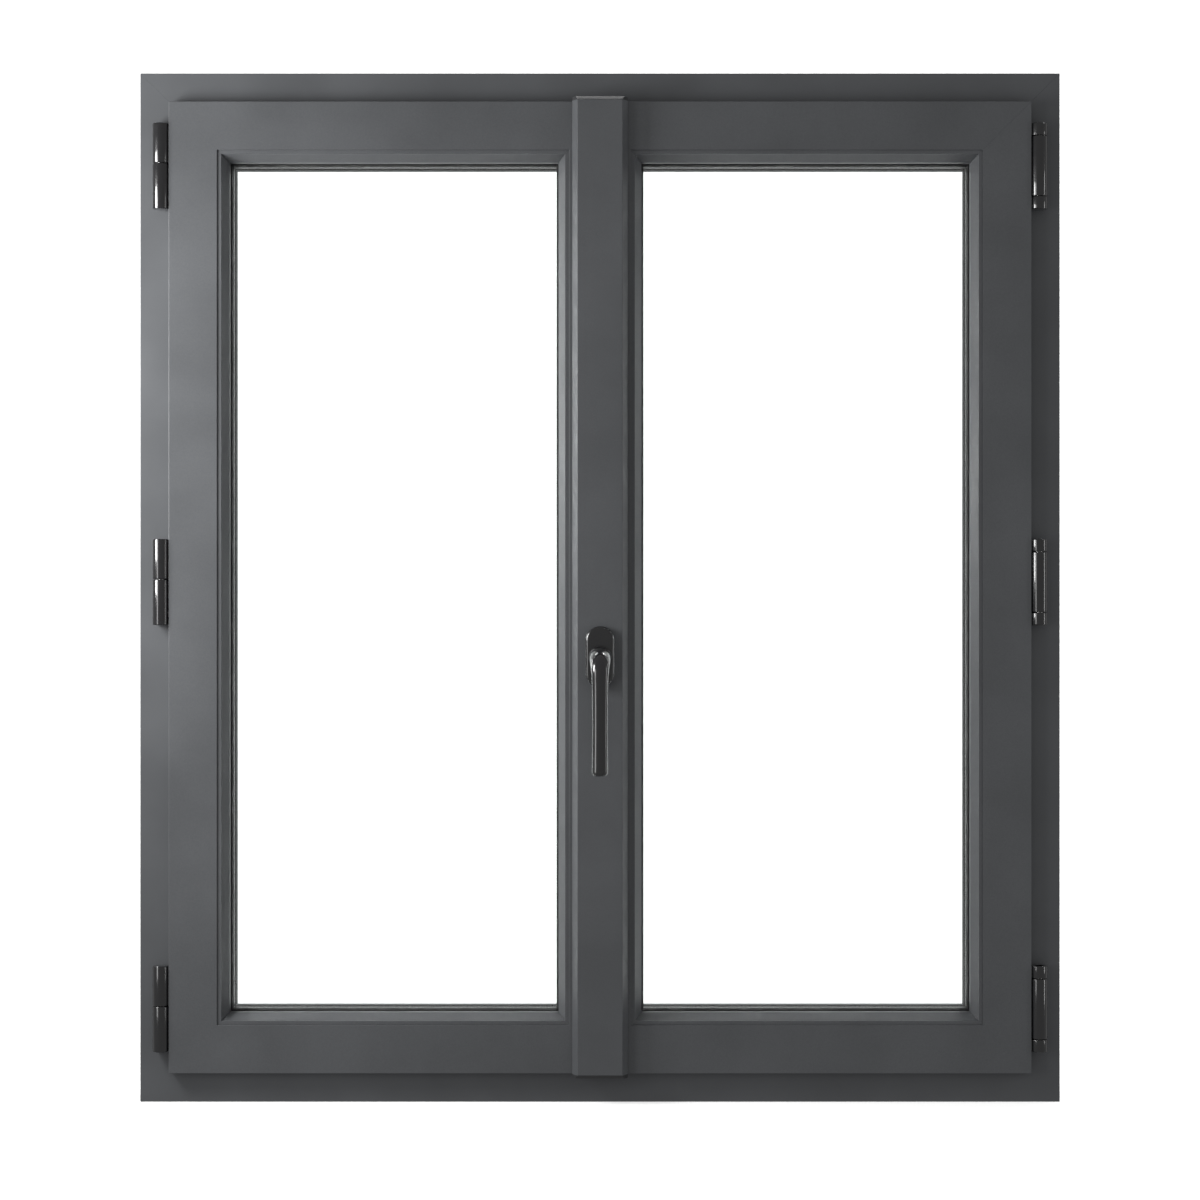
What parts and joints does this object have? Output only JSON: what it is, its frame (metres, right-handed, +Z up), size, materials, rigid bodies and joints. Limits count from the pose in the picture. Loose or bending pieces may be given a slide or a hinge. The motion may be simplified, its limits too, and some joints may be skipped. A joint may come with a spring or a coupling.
{
  "type": "casement window",
  "caption": "Two-leaf inward-opening casement window with double glazing, barrel hinges, a cover batten and a lever handle that drives locking rods.",
  "frame": {"origin": "middle of the frame's underside, on the plane of the frame's room face", "axes": "+Z up, +Y from the room towards the outside, +X to the right seen from the room"},
  "size_m": [1.03, 0.154, 1.152],
  "materials": {
    "glass": "clear float glass",
    "rubber_seal": "matt EPDM",
    "black_polyamide": "glass-filled polyamide",
    "mill_aluminium": "mill finish",
    "white_acetal": "smooth acetal",
    "zinc_steel": "zinc plated",
    "black_hinge": "gloss black",
    "black_handle": "gloss black",
    "cap_plastic": "moulded plastic",
    "grey_powder_coat": "satin dark grey powder coat"
  },
  "bodies": {
    "frame": {"frame_head": "grey_powder_coat", "frame_sill": "grey_powder_coat", "frame_left_jamb": "grey_powder_coat", "frame_right_jamb": "grey_powder_coat", "frame_thermal_breaks": "black_polyamide", "frame_corner_cleats": "mill_aluminium", "frame_stop_gasket": "rubber_seal", "frame_keeps": "zinc_steel", "drain_caps": "black_polyamide", "left_hinge_frame_parts": "black_hinge", "right_hinge_frame_parts": "black_hinge", "left_hinge_pins": "zinc_steel", "right_hinge_pins": "zinc_steel"},
    "left_leaf": {"left_top_rail": "grey_powder_coat", "left_bottom_rail": "grey_powder_coat", "left_hinge_stile": "grey_powder_coat", "left_meeting_stile": "grey_powder_coat", "left_thermal_breaks": "black_polyamide", "left_corner_cleats": "mill_aluminium", "left_beads": "grey_powder_coat", "left_panes": "glass", "left_spacer": "black_polyamide", "left_glazing_gaskets": "rubber_seal", "left_setting_blocks": "black_polyamide", "left_overlap_gasket": "rubber_seal", "left_hinge_leaf_parts": "black_hinge", "left_hinge_bushes": "white_acetal", "left_hinge_screws": "zinc_steel", "outer_cover_strip": "grey_powder_coat", "flush_bolt_guides": "black_polyamide"},
    "right_leaf": {"right_top_rail": "grey_powder_coat", "right_bottom_rail": "grey_powder_coat", "right_hinge_stile": "grey_powder_coat", "right_meeting_stile": "grey_powder_coat", "right_thermal_breaks": "black_polyamide", "right_corner_cleats": "mill_aluminium", "right_beads": "grey_powder_coat", "right_panes": "glass", "right_spacer": "black_polyamide", "right_glazing_gaskets": "rubber_seal", "right_setting_blocks": "black_polyamide", "right_overlap_gasket": "rubber_seal", "right_hinge_leaf_parts": "black_hinge", "right_hinge_bushes": "white_acetal", "right_hinge_screws": "zinc_steel", "batten": "grey_powder_coat", "batten_end_caps": "cap_plastic", "gearbox_case": "zinc_steel", "rod_guides": "black_polyamide", "handle_plate": "black_handle", "handle_screws": "zinc_steel"},
    "handle": {"handle_lever": "black_handle", "handle_spindle": "zinc_steel", "pinion": "zinc_steel"},
    "upper_rod": {"upper_rod": "zinc_steel"},
    "lower_rod": {"lower_rod": "zinc_steel"},
    "top_bolt": {"top_flush_bolt": "zinc_steel"},
    "bottom_bolt": {"bottom_flush_bolt": "zinc_steel"}
  },
  "joints": [
    {"name": "right_leaf_swing", "type": "hinge", "parent": "frame", "child": "right_leaf", "pos_m": [0.4905, -0.01, 0.582], "axis": [0, 0, 1], "range_deg": [0, 100]},
    {"name": "left_leaf_swing", "type": "hinge", "parent": "frame", "child": "left_leaf", "pos_m": [-0.4905, -0.01, 0.582], "axis": [0, 0, -1], "range_deg": [0, 90]},
    {"name": "handle_turn", "type": "hinge", "parent": "right_leaf", "child": "handle", "pos_m": [0, -0.033, 0.499], "axis": [0, -1, 0], "range_deg": [0, 90]},
    {"name": "upper_rod_slide", "type": "slide", "parent": "right_leaf", "child": "upper_rod", "axis": [0, 0, -1], "range_m": [0, 0.0118]},
    {"name": "lower_rod_slide", "type": "slide", "parent": "right_leaf", "child": "lower_rod", "axis": [0, 0, 1], "range_m": [0, 0.0118]},
    {"name": "top_bolt_slide", "type": "slide", "parent": "left_leaf", "child": "top_bolt", "axis": [0, 0, -1], "range_m": [0, 0.012]},
    {"name": "bottom_bolt_slide", "type": "slide", "parent": "left_leaf", "child": "bottom_bolt", "axis": [0, 0, 1], "range_m": [0, 0.012]}
  ],
  "couplings": [
    {"joint": "left_leaf_swing", "follows": "right_leaf_swing", "ratio": 0.9},
    {"joint": "upper_rod_slide", "follows": "handle_turn", "m_per_rad": 0.0075},
    {"joint": "lower_rod_slide", "follows": "handle_turn", "m_per_rad": 0.0075}
  ]
}
